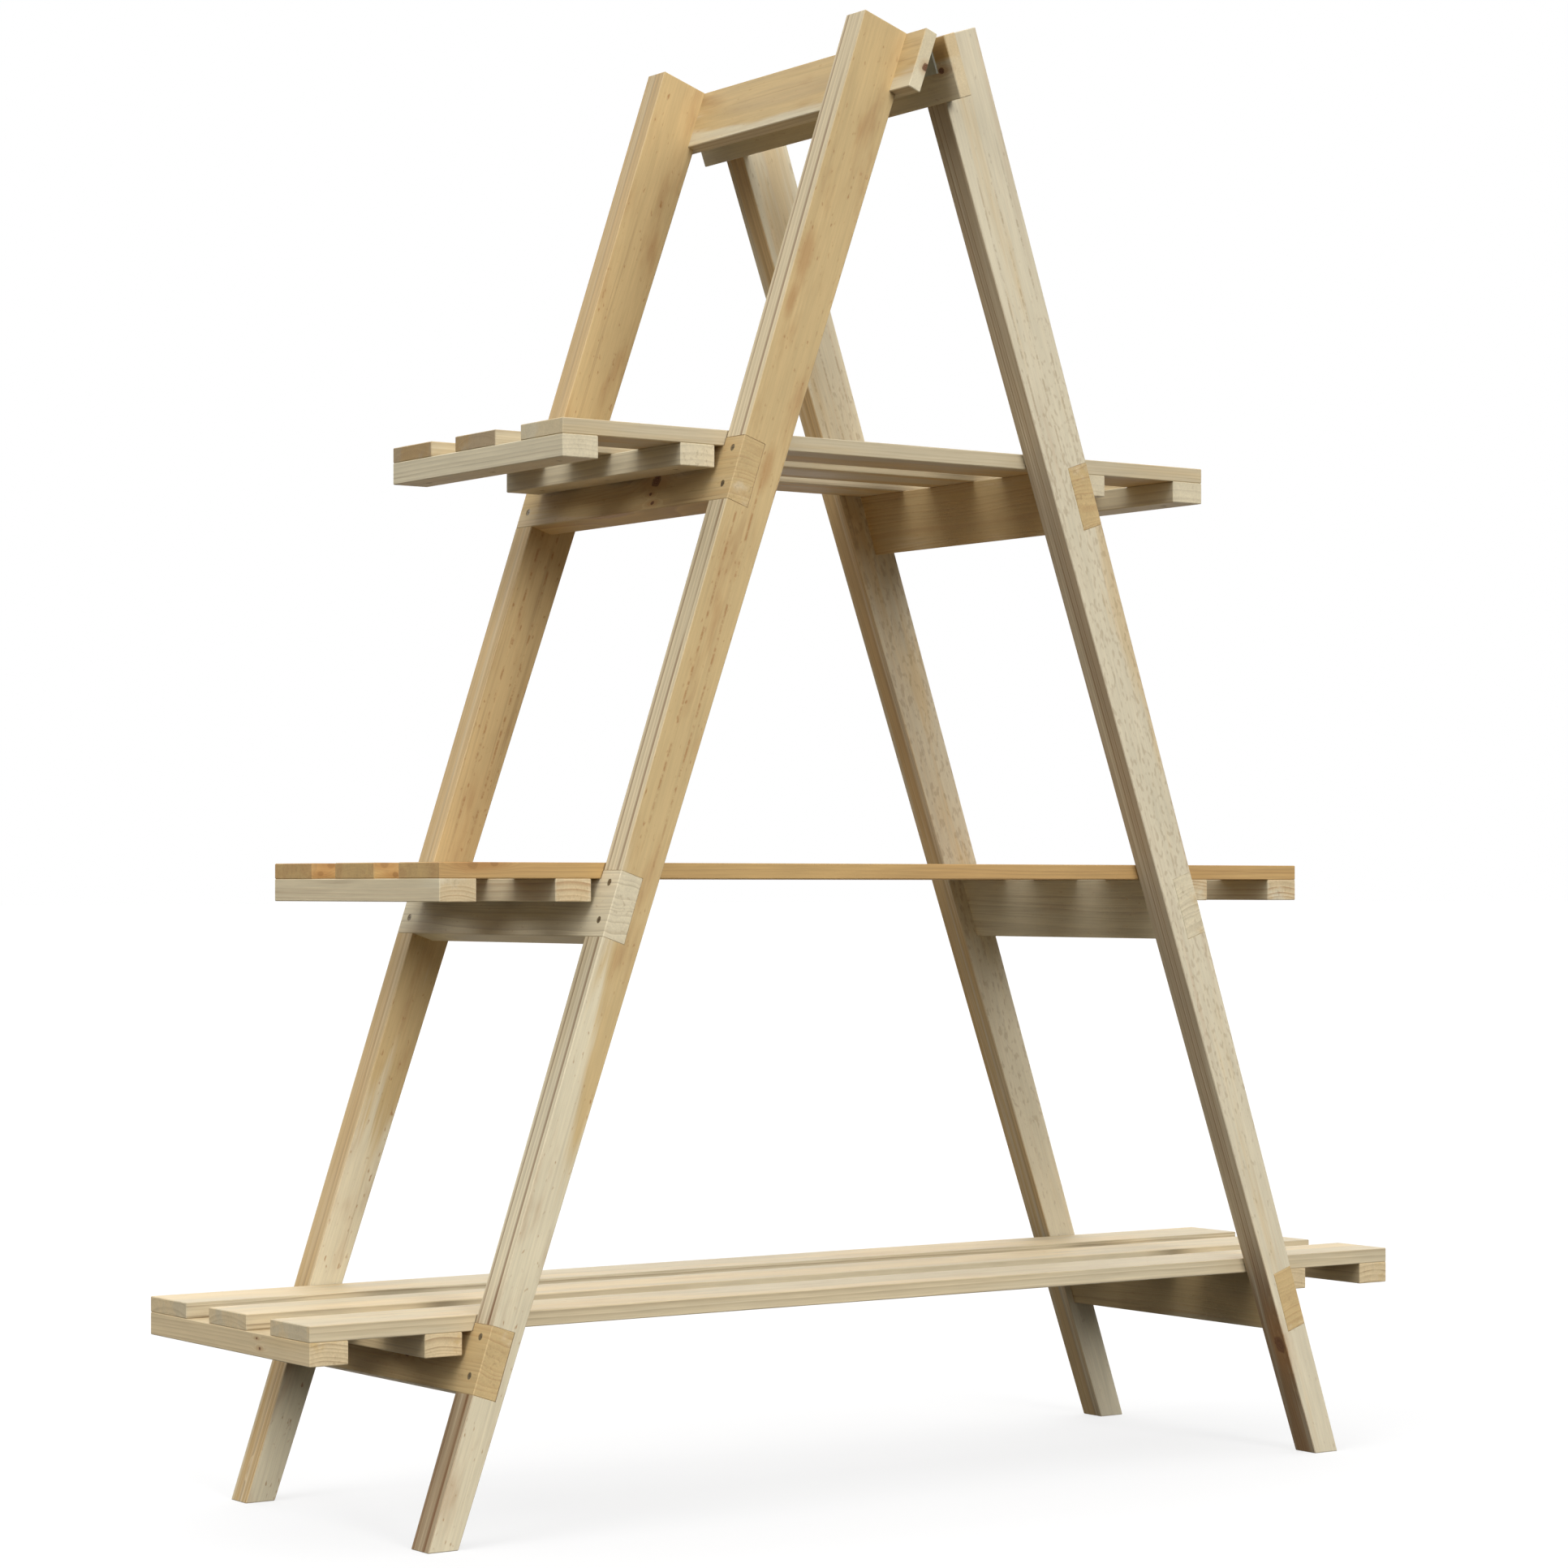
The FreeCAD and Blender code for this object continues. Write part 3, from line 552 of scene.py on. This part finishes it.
def look(spring, heart, summer="summer", **others):
    """A board's tones, and how strongly each part of the grain shows, where it differs from the usual."""
    own = {"spring": spring, "heart": heart, "summer": summer, "ring_width": sizes().ring_width}
    return {**USUAL_LOOK, **own, **others}


class FinishLegs(bpy.types.Operator):
    """Gives the four legs their pine: honey on the left, paler on the right"""
    bl_idname = "plant_shelf.finish_legs"
    bl_label = "Finish Legs"

    def execute(self, context):
        shape = {"waviness": 0.006, "ring_width": sizes().ring_width * 1.1}
        honey = {"heart_share": 1.15, "heart_drift": (0.9, 0.0, 0.0),
                 "blotch_share": 0.45, "speck_share": 0.7,
                 "vein_place": 0.010, "vein_middle": 0.11, "vein_share": 0.65, **shape}
        pale = {"streak": "pink_streak", "blotch": "summer", "heart_share": 0.3,
                "blotch_share": 0.12, "speck_share": 0.30, "speck_cover": 0.14,
                "vein_place": 0.004, "vein_middle": 0.45, "vein_share": 0.4, **shape}
        lined = {"ring_contrast": 0.75, "flat_contrast": 0.10}
        plain = {"ring_contrast": 0.40, "flat_contrast": 0.20}
        # Each leg's foot share darkens its foot: partly its own darker grain, partly painted shade under the
        # bottom shelf.
        looks = {
            "left_front": look("cream", "honey", "brown_streak", edge_heart=0.3, edge_share=0.06,
                               foot_share=0.75, streak_share=0.12, **honey, **lined),
            "left_back": look("cream", "honey", edge="amber", edge_share=0.7, foot_share=0.3,
                              **honey, **plain),
            # The right legs' brown ring lines and summer-wood bands on their narrow faces are partly their
            # own browner grain and partly painted shade on their inner faces.
            "right_front": look("pale", "sand", "brown_streak", edge_share=0.5, foot_share=0.5,
                                **pale, **lined),
            "right_back": look("pale", "sand", "umber", edge="amber", edge_share=0.85, **pale, **plain),
        }
        knots = {
            "left_front": [((0.52, 0.014, 0.016), 0.006, 0.0), ((0.47, 0.016, 0.016), 0.004, 0.0),
                           ((0.30, -0.010, 0.016), 0.005, 0.0)],
            "left_back": [((-0.765, 0.022, 0.0), 0.002, 1.0)],
            "right_front": [((-0.66, 0.011, 0.006), 0.009, 0.8)],
        }
        for number, (side, hand) in enumerate(SIDES.items()):
            grain = Vector((hand * math.sin(LEAN), 0.0, math.cos(LEAN)))
            for row, end in enumerate(("front", "back")):
                part = f"{side}_{end}"
                name = part + "_leg"
                seed = grain_seed("leg", number, row)
                coat(name, pine(name, looks[part], grain, FRONT, seed, knots.get(part, ())))
        return {"FINISHED"}


class FinishRungs(bpy.types.Operator):
    """Gives the six rungs their pine, with a few knots"""
    bl_idname = "plant_shelf.finish_rungs"
    bl_label = "Finish Rungs"

    def execute(self, context):
        shape = {"pith": (0.0, -0.16, 0.0), "waviness": 0.030, "flat_contrast": 0.45, "end_contrast": 0.5}
        honey = look("sand", "honey", "rust", heart_share=0.7, **shape)
        cream = look("cream", "sand", "grey_summer", heart_share=0.3, **shape)
        looks = {"bottom": honey, "middle": cream, "top": honey}
        knots = {
            "left_top": [((-0.058, 0.003, 0.013), 0.007, 1.0), ((-0.054, 0.017, 0.013), 0.0022, 1.0),
                         ((-0.062, 0.027, 0.013), 0.0026, 1.0)],
            "left_bottom": [((-0.06, 0.005, 0.013), 0.005, 1.0)],
        }
        for number, (side, hand) in enumerate(SIDES.items()):
            face = Vector((-hand * math.cos(LEAN), 0.0, math.sin(LEAN)))
            for row, level in enumerate(LEVELS):
                part = f"{side}_{level}"
                name = part + "_rung"
                seed = grain_seed("rung", number, row)
                coat(name, pine(name, looks[level], ALONG_DEPTH, face, seed, knots.get(part, ())))
        return {"FINISHED"}


class FinishRails(bpy.types.Operator):
    """Gives the two top rails their pine, cream with warmer fields, the right rail's upper field partly
    painted shade
    """
    bl_idname = "plant_shelf.finish_rails"
    bl_label = "Finish Rails"

    def execute(self, context):
        fields = {
            "left": {"heart": "honey", "heart_share": 0.7, "heart_drift": (0.0, 9.0, 0.0), "end": "cream",
                     "blotch_share": 0.4},
            # The right rail's amber field, drifted to its upper half, is partly warmer wood and partly
            # painted shade of the left rail above it.
            "right": {"heart": "amber", "heart_share": 0.65, "heart_drift": (0.0, -6.0, 0.0), "end": "sand"},
        }
        knots = {
            "left": [((-0.2305, -0.006, 0.0055), 0.0055, 1.0)],
            "right": [((-0.212, 0.001, 0.0075), 0.004, 1.0)],
        }
        for number, (side, hand) in enumerate(SIDES.items()):
            wood = look("cream", end_share=0.8, edge_share=0.4, **fields[side])
            face = Vector((hand * math.cos(RAIL_LEAN), 0.0, -math.sin(RAIL_LEAN)))
            name = f"{side}_top_rail"
            coat(name, pine(name, wood, ALONG_DEPTH, face, grain_seed("rail", number), knots[side]))
        return {"FINISHED"}


class FinishSlats(bpy.types.Operator):
    """Gives the nine slats their pine: dull and pale, but amber on the middle shelf"""
    bl_idname = "plant_shelf.finish_slats"
    bl_label = "Finish Slats"

    def execute(self, context):
        looks = {
            "bottom": look("linen", "sand", "grey_summer", flat_contrast=0.12, streak_share=0.12),
            "middle": look("amber", "russet", ring_contrast=0.3, heart_share=0.35, end="honey",
                           end_share=0.3),
            "top": look("linen", "honey", ring_contrast=0.35, streak_share=0.12, end_contrast=0.15),
        }
        ends = {
            "top_front": {"end": "cream", "end_share": 0.6},
            "top_middle": {"end_share": 0.55, "end_contrast": 0.8},
            "top_back": {"end_share": 0.55, "end_contrast": 0.8},
        }

        # Small knots on the front edges, near the left ends: distance from the end, height, size and core.
        edge_knots = {
            "middle_front": ((0.036, 0.005, 0.005, 0.25), (0.060, 0.007, 0.004, 0.3)),
            "middle_middle": ((0.012, 0.006, 0.004, 0.3), (0.024, -0.004, 0.003, 0.4)),
            "middle_back": ((0.010, -0.003, 0.003, 0.3), (0.022, 0.006, 0.004, 0.3)),
        }
        left_end = -NODES["middle_front_slat"].dimensions.x / 2
        front_edge = -0.039
        for row, level in enumerate(LEVELS):
            for number, place in enumerate(("front", "middle", "back")):
                part = f"{level}_{place}"
                name = part + "_slat"
                wood = {**looks[level], **ends.get(part, {})}
                knots = [((start + left_end, front_edge, height), size, core)
                         for start, height, size, core in edge_knots.get(part, ())]
                seed = grain_seed("slat", row, number)
                coat(name, pine(name, wood, ALONG_LENGTH, UP, seed, knots))
        return {"FINISHED"}


class FinishBattens(bpy.types.Operator):
    """Gives the twelve battens their pine"""
    bl_idname = "plant_shelf.finish_battens"
    bl_label = "Finish Battens"

    def execute(self, context):
        shape = {"ring_contrast": 0.3, "end_contrast": 2.0}
        looks = {
            "bottom": look("sand", "honey", heart_share=0.4, **shape),
            "middle": look("cream", "sand", "rust", heart_share=0.6, end_share=0.12, **shape),
            "top": look("cream", "cream", "grey_summer", **{**shape, "end_contrast": 0.8}),
        }
        knots = {
            "bottom_left_end": [((-0.060, 0.020, 0.006), 0.0014, 1.0),
                                ((-0.066, 0.020, -0.003), 0.0018, 1.0)],
        }
        for row, level in enumerate(LEVELS):
            for number, place in enumerate(("left_end", "left_stop", "right_stop", "right_end")):
                part = f"{level}_{place}"
                name = part + "_batten"
                seed = grain_seed("batten", row, number)
                coat(name, pine(name, looks[level], ALONG_DEPTH, UP, seed, knots.get(part, ())))
        return {"FINISHED"}


# Steel

def scuff_group():
    """Handling marks on plated steel: soft clouds, fine scratches and dull spots."""
    if "Steel Scuffs" in bpy.data.node_groups:
        return bpy.data.node_groups["Steel Scuffs"]
    tree, source, target = new_group(
        "Steel Scuffs",
        {"Vector": ("Place",), "Color": ("Steel",), "Float": ("Wear",)},
        {"Color": ("Color",), "Float": ("Roughness", "Height")})
    cloud = result(noise(tree, source["Place"], along=120.0, across=120.0, detail=4.0, roughness=0.6))
    scratch = patches(tree, source["Place"], 0.60, 0.72, along=2600.0, across=90.0, through=2600.0)
    worn = calc(tree, "MAXIMUM", scratch, soft_step(tree, cloud, 0.52, 0.75))
    worn = product(tree, worn, source["Wear"])
    colour = vector_calc(tree, "SCALE", source["Steel"], between(tree, cloud, 0.72, 1.22))
    dull = vector_calc(tree, "SCALE", source["Steel"], 0.55)
    feed(tree, target["Color"], blend_colours(tree, worn, colour, dull))
    feed(tree, target["Roughness"], between(tree, worn, 0.34, 0.64))
    feed(tree, target["Height"], product(tree, scratch, -1.0))
    return tree


def steel(name, colour, wear):
    """Steel of a named colour, with its handling marks."""
    material, tree, shader = principled(name)
    place = add_node(tree, "TexCoord").outputs["Object"]
    marks = use_group(tree, scuff_group(), place=place, steel=paint(colour), wear=wear)
    surface(tree, shader, marks.outputs["Color"], marks, strength=0.2, depth=0.0001)
    shader.inputs["Metallic"].default_value = 0.3
    return material


class FinishHinges(bpy.types.Operator):
    """Gives the hinge leaves and pins their plated steel"""
    bl_idname = "plant_shelf.finish_hinges"
    bl_label = "Finish Hinges"

    def execute(self, context):
        plated = steel("plated_steel", "hinge_steel", wear=0.5)
        for name in NODES:
            if "hinge_leaf" in name or "hinge_pin" in name:
                coat(name, plated)
        return {"FINISHED"}


# Screws

def only(piece):
    """Selects one object and makes it active."""
    bpy.ops.object.select_all(action="DESELECT")
    piece.select_set(True)
    bpy.context.view_layer.objects.active = piece


def pick_faces(piece, test):
    """Selects, in edit mode, the faces whose normal passes the test."""
    bpy.ops.mesh.select_all(action="DESELECT")
    bpy.ops.object.mode_set(mode="OBJECT")
    for face in piece.data.polygons:
        face.select = test(face.normal)
    bpy.ops.object.mode_set(mode="EDIT")


def looks_up(normal):
    return normal.z > LEVEL_FACE


def looks_down(normal):
    return normal.z < -LEVEL_FACE


def screw_shape(mesh):
    """Each CAD screw's head centre, axis, head radius, shank radius and length."""
    points = np.array([vertex.co for vertex in mesh.vertices])
    keys, merged = np.unique(np.round(points, MERGE_DIGITS), axis=0, return_inverse=True)
    merged = merged.ravel()
    parent = list(range(len(keys)))

    def root(index):
        while parent[index] != index:
            index = parent[index]
        return index

    for edge in mesh.edges:
        first, second = (root(merged[index]) for index in edge.vertices)
        parent[first] = second
    islands = {}
    for index in range(len(keys)):
        islands.setdefault(root(index), []).append(keys[index])
    shapes = []
    for island in islands.values():
        cloud = np.array(island)
        middle = cloud.mean(axis=0)
        axis = np.linalg.eigh(np.cov((cloud - middle).T))[1][:, -1]
        along = (cloud - middle) @ axis
        radius = np.linalg.norm(cloud - middle - np.outer(along, axis), axis=1)
        if along[radius.argmax()] < 0:
            axis, along = -axis, -along
        head = middle + axis * along.max()
        shapes.append((Vector(head), Vector(axis), radius.max(), radius.min(), along.max() - along.min()))
    return sorted(shapes, key=lambda shape: tuple(round(value, SORT_DIGITS) for value in shape[0]))


def make_screw(head_radius, shank_radius, length):
    """One flat-headed screw, head up, with a softened rim and a cross recess."""
    bpy.ops.object.select_all(action="DESELECT")
    head_height = head_radius * HEAD_HEIGHT
    bpy.ops.mesh.primitive_cylinder_add(
        vertices=SCREW_SIDES, radius=head_radius, depth=head_height, location=(0.0, 0.0, -head_height / 2))
    screw = bpy.context.object
    bpy.ops.object.transform_apply(location=True)
    bpy.ops.object.mode_set(mode="EDIT")
    pick_faces(screw, looks_down)
    bpy.ops.mesh.inset(thickness=head_radius - shank_radius)
    bpy.ops.mesh.extrude_region_move(TRANSFORM_OT_translate={"value": (0.0, 0.0, head_height - length)})
    bpy.ops.transform.resize(value=(TIP_TAPER, TIP_TAPER, 1.0))
    pick_faces(screw, looks_up)
    bpy.ops.mesh.bevel(offset=head_radius * RIM_WIDTH, segments=RIM_STEPS, affect="EDGES")
    bpy.ops.object.mode_set(mode="OBJECT")

    # Two tapered bars cut the cross recess.
    bars = []
    reach = head_radius * sizes().drive_width
    for turn in (0.0, math.pi / 2):
        bpy.ops.object.select_all(action="DESELECT")
        bpy.ops.mesh.primitive_cube_add(size=1.0, location=(0.0, 0.0, 0.0))
        bar = bpy.context.object
        bar.scale = (reach * 2, reach * BAR_WIDTH, sizes().drive_depth * 2)
        bar.rotation_euler.z = turn
        bpy.ops.object.transform_apply(rotation=True, scale=True)
        bpy.ops.object.mode_set(mode="EDIT")
        pick_faces(bar, looks_down)
        bpy.ops.transform.resize(value=(RECESS_TAPER, RECESS_TAPER, 1.0))
        bpy.ops.object.mode_set(mode="OBJECT")
        bars.append(bar)
    for bar in bars:
        cut = screw.modifiers.new("recess", "BOOLEAN")
        cut.operation = "DIFFERENCE"
        cut.object = bar
        only(screw)
        bpy.ops.object.modifier_apply(modifier=cut.name)
        bpy.data.objects.remove(bar)
    only(screw)
    bpy.ops.object.shade_smooth_by_angle(angle=SMOOTH_ANGLE)
    return screw


class MakeScrews(bpy.types.Operator):
    """Models one screw for each family and sets a copy in every place"""
    bl_idname = "plant_shelf.make_screws"
    bl_label = "Make Screws"

    def execute(self, context):
        dull = steel("dull_steel", "screw_steel", wear=0.7)
        bodies = {"left": "left_ladder", "right": "right_ladder"}
        bodies.update({level: level + "_shelf" for level in LEVELS})
        groups = [name for name in NODES if name.endswith("_screws")]
        if not groups:
            raise RuntimeError("The frame has no screws")
        for node_name in groups:
            shapes = screw_shape(NODES[node_name].data)
            pattern = make_screw(*shapes[0][2:])
            copies = []
            for number, (head, axis, *_) in enumerate(shapes):
                copy = pattern.copy()
                copy.data = pattern.data.copy()
                context.collection.objects.link(copy)
                turn = Matrix.Rotation(number * SCREW_TURN, 4, "Z")
                lift = UP.rotation_difference(axis).to_matrix().to_4x4()
                copy.data.transform(Matrix.Translation(head) @ lift @ turn)
                copies.append(copy)
            bpy.data.objects.remove(pattern)
            only(copies[0])
            for copy in copies:
                copy.select_set(True)
            bpy.ops.object.join()
            piece = context.object
            piece.name = node_name + "_round"
            piece.data.materials.clear()
            piece.data.materials.append(dull)
            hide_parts(node_name)
            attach(piece, bodies[node_name.split("_")[0]])
        return {"FINISHED"}


# Stage

def seen_directly(tree):
    """1 for the rays that show the background: to the camera, in reflections and through glass."""
    path = add_node(tree, "LightPath")
    seen = calc(tree, "MAXIMUM", path.outputs["Is Camera Ray"], path.outputs["Is Glossy Ray"])
    return calc(tree, "MAXIMUM", seen, path.outputs["Is Transmission Ray"])


class SetStage(bpy.types.Operator):
    """Lays the floor, sets the lights and the camera"""
    bl_idname = "plant_shelf.set_stage"
    bl_label = "Set Stage"

    def execute(self, context):
        self.lay_floor()
        self.light()
        self.place_camera(context)
        return {"FINISHED"}

    def lay_floor(self):
        bpy.ops.object.select_all(action="DESELECT")
        bpy.ops.mesh.primitive_plane_add(size=FLOOR_SIZE, location=(0.0, 0.0, 0.0))
        floor = bpy.context.object
        floor.name = "studio_floor"
        material, tree, shader = principled("studio_floor")
        seen = seen_directly(tree)
        feed(tree, shader.inputs["Base Color"],
             blend_colours(tree, seen, paint("floor_bounce"), paint("floor_white")))
        shader.inputs["Roughness"].default_value = 0.9
        shader.inputs["Specular IOR Level"].default_value = 0.0
        glow = add_node(tree, "Emission", WHITE, 1.0)
        share = product(tree, seen, FLOOR_GLOW)
        mix = add_node(tree, "MixShader", share, shader.outputs["BSDF"], glow.outputs["Emission"])
        output = tree.nodes["Material Output"]
        feed(tree, output.inputs["Surface"], mix.outputs["Shader"])
        floor.data.materials.append(material)

    def light(self):
        world = bpy.data.worlds.new("studio_air")
        bpy.context.scene.world = world
        world.use_nodes = True
        tree = world.node_tree
        air = tree.nodes["Background"]
        feed(tree, air.inputs["Strength"], between(tree, seen_directly(tree), AIR_FILL, 1.0))
        air.inputs["Color"].default_value = WHITE
        for name, (tilt, heading, strength, spread) in LAMPS.items():
            lamp = bpy.data.lights.new("studio_" + name, "SUN")
            lamp.energy = strength
            lamp.angle = math.radians(spread)
            stand = bpy.data.objects.new("studio_" + name, lamp)
            stand.rotation_euler = (math.radians(tilt), 0.0, math.radians(heading))
            bpy.context.collection.objects.link(stand)
        bpy.context.scene.view_settings.view_transform = "Standard"

    def place_camera(self, context):
        camera = bpy.data.cameras.new("photo_camera")
        camera.lens = CAMERA_LENS
        camera.sensor_width = CAMERA_SENSOR
        camera.shift_y = CAMERA_RISE
        camera.clip_end = CAMERA_REACH
        stand = bpy.data.objects.new("photo_camera", camera)
        stand.location = CAMERA_PLACE
        stand.rotation_euler = (math.pi / 2, 0.0, CAMERA_TURN)
        context.collection.objects.link(stand)
        context.scene.camera = stand


STEPS = (FinishLegs, FinishRungs, FinishRails, FinishSlats, FinishBattens, FinishHinges, MakeScrews, SetStage)


class PlantShelfPanel(bpy.types.Panel):
    """Lists the steps that finish the shelf"""
    bl_idname = "VIEW3D_PT_plant_shelf"
    bl_label = "Plant Shelf"
    bl_space_type = "VIEW_3D"
    bl_region_type = "UI"
    bl_category = "Plant Shelf"

    def draw(self, context):
        for step in STEPS:
            self.layout.operator(step.bl_idname)
        for group in (colours(), sizes()):
            for name in group.__annotations__:
                self.layout.prop(group, name)


CLASSES = (PlantShelfColours, PlantShelfSizes, *STEPS, PlantShelfPanel)


def register():
    for cls in CLASSES:
        bpy.utils.register_class(cls)
    bpy.types.Scene.plant_shelf_colours = PointerProperty(type=PlantShelfColours)
    bpy.types.Scene.plant_shelf_sizes = PointerProperty(type=PlantShelfSizes)


def unregister():
    del bpy.types.Scene.plant_shelf_sizes
    del bpy.types.Scene.plant_shelf_colours
    for cls in reversed(CLASSES):
        bpy.utils.unregister_class(cls)


def main():
    register()
    bpy.ops.plant_shelf.finish_legs()
    bpy.ops.plant_shelf.finish_rungs()
    bpy.ops.plant_shelf.finish_rails()
    bpy.ops.plant_shelf.finish_slats()
    bpy.ops.plant_shelf.finish_battens()
    bpy.ops.plant_shelf.finish_hinges()
    bpy.ops.plant_shelf.make_screws()
    bpy.ops.plant_shelf.set_stage()


if __name__ == "__main__":
    main()
